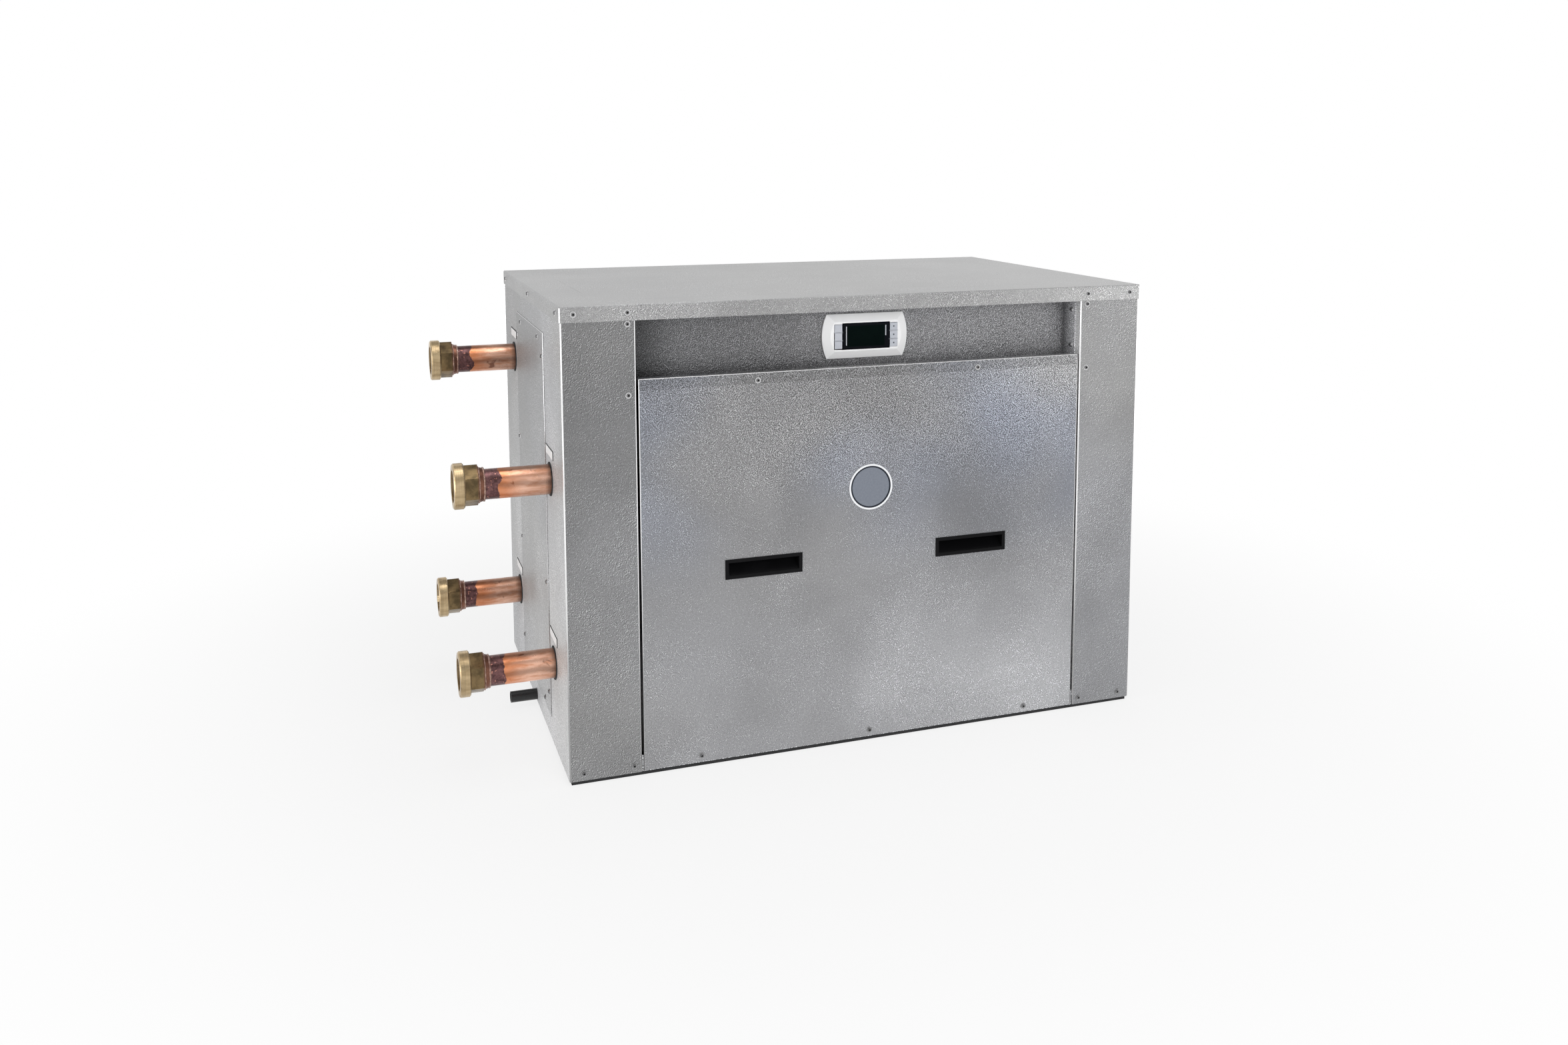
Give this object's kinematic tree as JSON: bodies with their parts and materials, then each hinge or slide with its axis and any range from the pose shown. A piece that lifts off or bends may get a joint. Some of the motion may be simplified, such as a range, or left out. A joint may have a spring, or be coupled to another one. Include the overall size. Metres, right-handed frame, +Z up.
{
  "type": "water-to-water heat pump",
  "caption": "Floor-standing water-to-water heat pump in a galvanised steel cabinet with a recessed display, a lift-off front panel and copper water connections on its left side.",
  "frame": {"origin": "middle of the cabinet's footprint, on the floor", "axes": "+X to the right seen from the front, +Y from the front to the rear, +Z up"},
  "size_m": [1.3134, 0.7356, 0.84],
  "materials": {
    "base_strips": "black",
    "base_pan": "galvanised, stucco embossed",
    "left_side_panel": "galvanised, stucco embossed",
    "right_side_panel": "galvanised, stucco embossed",
    "rear_panel": "galvanised, stucco embossed",
    "top_cover": "galvanised, stucco embossed",
    "control_tray": "galvanised, stucco embossed",
    "side_access_panel": "galvanised, stucco embossed",
    "cabinet_screws": "zinc plated",
    "front_access_panel": "galvanised, stucco embossed",
    "left_pull_handle": "moulded",
    "right_pull_handle": "moulded",
    "badge_disc": "satin, blank",
    "front_panel_screws": "zinc plated",
    "display_bezel": "white moulded",
    "display_back_box": "moulded",
    "display_board": "circuit board",
    "display_window": "dark display window",
    "load_pipes": "drawn copper tube",
    "load_adapters": "cast and turned brass",
    "source_pipes": "drawn copper tube",
    "source_adapters": "cast and turned brass",
    "pipe_grommets": "black",
    "port_tags": "blank white",
    "drain_tube": "black",
    "power_gland": "moulded",
    "load_exchanger": "pressed stainless, copper brazed",
    "source_exchanger": "pressed stainless, copper brazed",
    "exchanger_stands": "plain zinc",
    "compressor_feet": "black paint",
    "compressor_grommets": "black",
    "compressor_bolts": "plain zinc",
    "compressor_shell": "black paint",
    "compressor_cap": "black paint",
    "motor_stator": "laminated steel and enamelled copper",
    "motor_crankshaft": "ground",
    "bearing_frames": "machined",
    "orbiting_scroll": "machined",
    "fixed_scroll": "machined",
    "terminal_cover": "moulded",
    "reversing_valve_body": "cast and turned brass",
    "reversing_valve_spool": "ground",
    "reversing_valve_coil": "moulded",
    "discharge_line": "drawn copper tube",
    "suction_line": "drawn copper tube",
    "gas_lines": "drawn copper tube",
    "filter_drier": "blue paint",
    "expansion_valve": "cast and turned brass",
    "liquid_lines": "drawn copper tube",
    "electrical_box": "plain zinc",
    "contactor_base": "moulded",
    "contactor_armature": "moulded",
    "controller_module": "moulded",
    "compressor_conduit": "ribbed conduit",
    "left_top_key": "grey moulded",
    "left_middle_key": "grey moulded",
    "left_bottom_key": "grey moulded",
    "right_top_key": "grey moulded",
    "right_middle_key": "grey moulded",
    "right_bottom_key": "grey moulded"
  },
  "bodies": {
    "cabinet": {"base_strips": "base_strips", "base_pan": "base_pan", "left_side_panel": "left_side_panel", "right_side_panel": "right_side_panel", "rear_panel": "rear_panel", "top_cover": "top_cover", "control_tray": "control_tray", "side_access_panel": "side_access_panel", "cabinet_screws": "cabinet_screws", "display_bezel": "display_bezel", "display_back_box": "display_back_box", "display_board": "display_board", "display_window": "display_window", "load_pipes": "load_pipes", "load_adapters": "load_adapters", "source_pipes": "source_pipes", "source_adapters": "source_adapters", "pipe_grommets": "pipe_grommets", "port_tags": "port_tags", "drain_tube": "drain_tube", "power_gland": "power_gland", "load_exchanger": "load_exchanger", "source_exchanger": "source_exchanger", "exchanger_stands": "exchanger_stands", "compressor_feet": "compressor_feet", "compressor_grommets": "compressor_grommets", "compressor_bolts": "compressor_bolts", "compressor_shell": "compressor_shell", "compressor_cap": "compressor_cap", "motor_stator": "motor_stator", "bearing_frames": "bearing_frames", "fixed_scroll": "fixed_scroll", "terminal_cover": "terminal_cover", "reversing_valve_body": "reversing_valve_body", "reversing_valve_coil": "reversing_valve_coil", "discharge_line": "discharge_line", "suction_line": "suction_line", "gas_lines": "gas_lines", "filter_drier": "filter_drier", "expansion_valve": "expansion_valve", "liquid_lines": "liquid_lines", "electrical_box": "electrical_box", "contactor_base": "contactor_base", "controller_module": "controller_module", "compressor_conduit": "compressor_conduit"},
    "front_panel": {"front_access_panel": "front_access_panel", "left_pull_handle": "left_pull_handle", "right_pull_handle": "right_pull_handle", "badge_disc": "badge_disc", "front_panel_screws": "front_panel_screws"},
    "crankshaft": {"motor_crankshaft": "motor_crankshaft"},
    "orbiting": {"orbiting_scroll": "orbiting_scroll"},
    "spool": {"reversing_valve_spool": "reversing_valve_spool"},
    "armature": {"contactor_armature": "contactor_armature"},
    "left_top_key_body": {"left_top_key": "left_top_key"},
    "left_middle_key_body": {"left_middle_key": "left_middle_key"},
    "left_bottom_key_body": {"left_bottom_key": "left_bottom_key"},
    "right_top_key_body": {"right_top_key": "right_top_key"},
    "right_middle_key_body": {"right_middle_key": "right_middle_key"},
    "right_bottom_key_body": {"right_bottom_key": "right_bottom_key"}
  },
  "joints": [
    {"name": "front_panel_pull", "type": "slide", "parent": "cabinet", "child": "front_panel", "axis": [0, -1, 0], "range_m": [0, 0.35]},
    {"name": "crankshaft_spin", "type": "hinge", "parent": "cabinet", "child": "crankshaft", "pos_m": [0.06, 0.06, 0.18], "axis": [0, 0, 1], "continuous": true},
    {"name": "scroll_orbit", "type": "hinge", "parent": "crankshaft", "child": "orbiting", "pos_m": [0.065, 0.06, 0.3], "axis": [0, 0, 1], "continuous": true},
    {"name": "reversing_slide", "type": "slide", "parent": "cabinet", "child": "spool", "axis": [1, 0, 0], "range_m": [0, 0.034]},
    {"name": "contactor_close", "type": "slide", "parent": "cabinet", "child": "armature", "axis": [0, 1, 0], "range_m": [0, 0.003], "stiffness_N_per_m": 400},
    {"name": "left_top_key_press", "type": "slide", "parent": "cabinet", "child": "left_top_key_body", "axis": [0, 1, 0], "range_m": [0, 0.0008], "stiffness_N_per_m": 400},
    {"name": "left_middle_key_press", "type": "slide", "parent": "cabinet", "child": "left_middle_key_body", "axis": [0, 1, 0], "range_m": [0, 0.0008], "stiffness_N_per_m": 400},
    {"name": "left_bottom_key_press", "type": "slide", "parent": "cabinet", "child": "left_bottom_key_body", "axis": [0, 1, 0], "range_m": [0, 0.0008], "stiffness_N_per_m": 400},
    {"name": "right_top_key_press", "type": "slide", "parent": "cabinet", "child": "right_top_key_body", "axis": [0, 1, 0], "range_m": [0, 0.0008], "stiffness_N_per_m": 400},
    {"name": "right_middle_key_press", "type": "slide", "parent": "cabinet", "child": "right_middle_key_body", "axis": [0, 1, 0], "range_m": [0, 0.0008], "stiffness_N_per_m": 400},
    {"name": "right_bottom_key_press", "type": "slide", "parent": "cabinet", "child": "right_bottom_key_body", "axis": [0, 1, 0], "range_m": [0, 0.0008], "stiffness_N_per_m": 400}
  ],
  "couplings": [
    {"joint": "scroll_orbit", "follows": "crankshaft_spin", "ratio": -1}
  ]
}
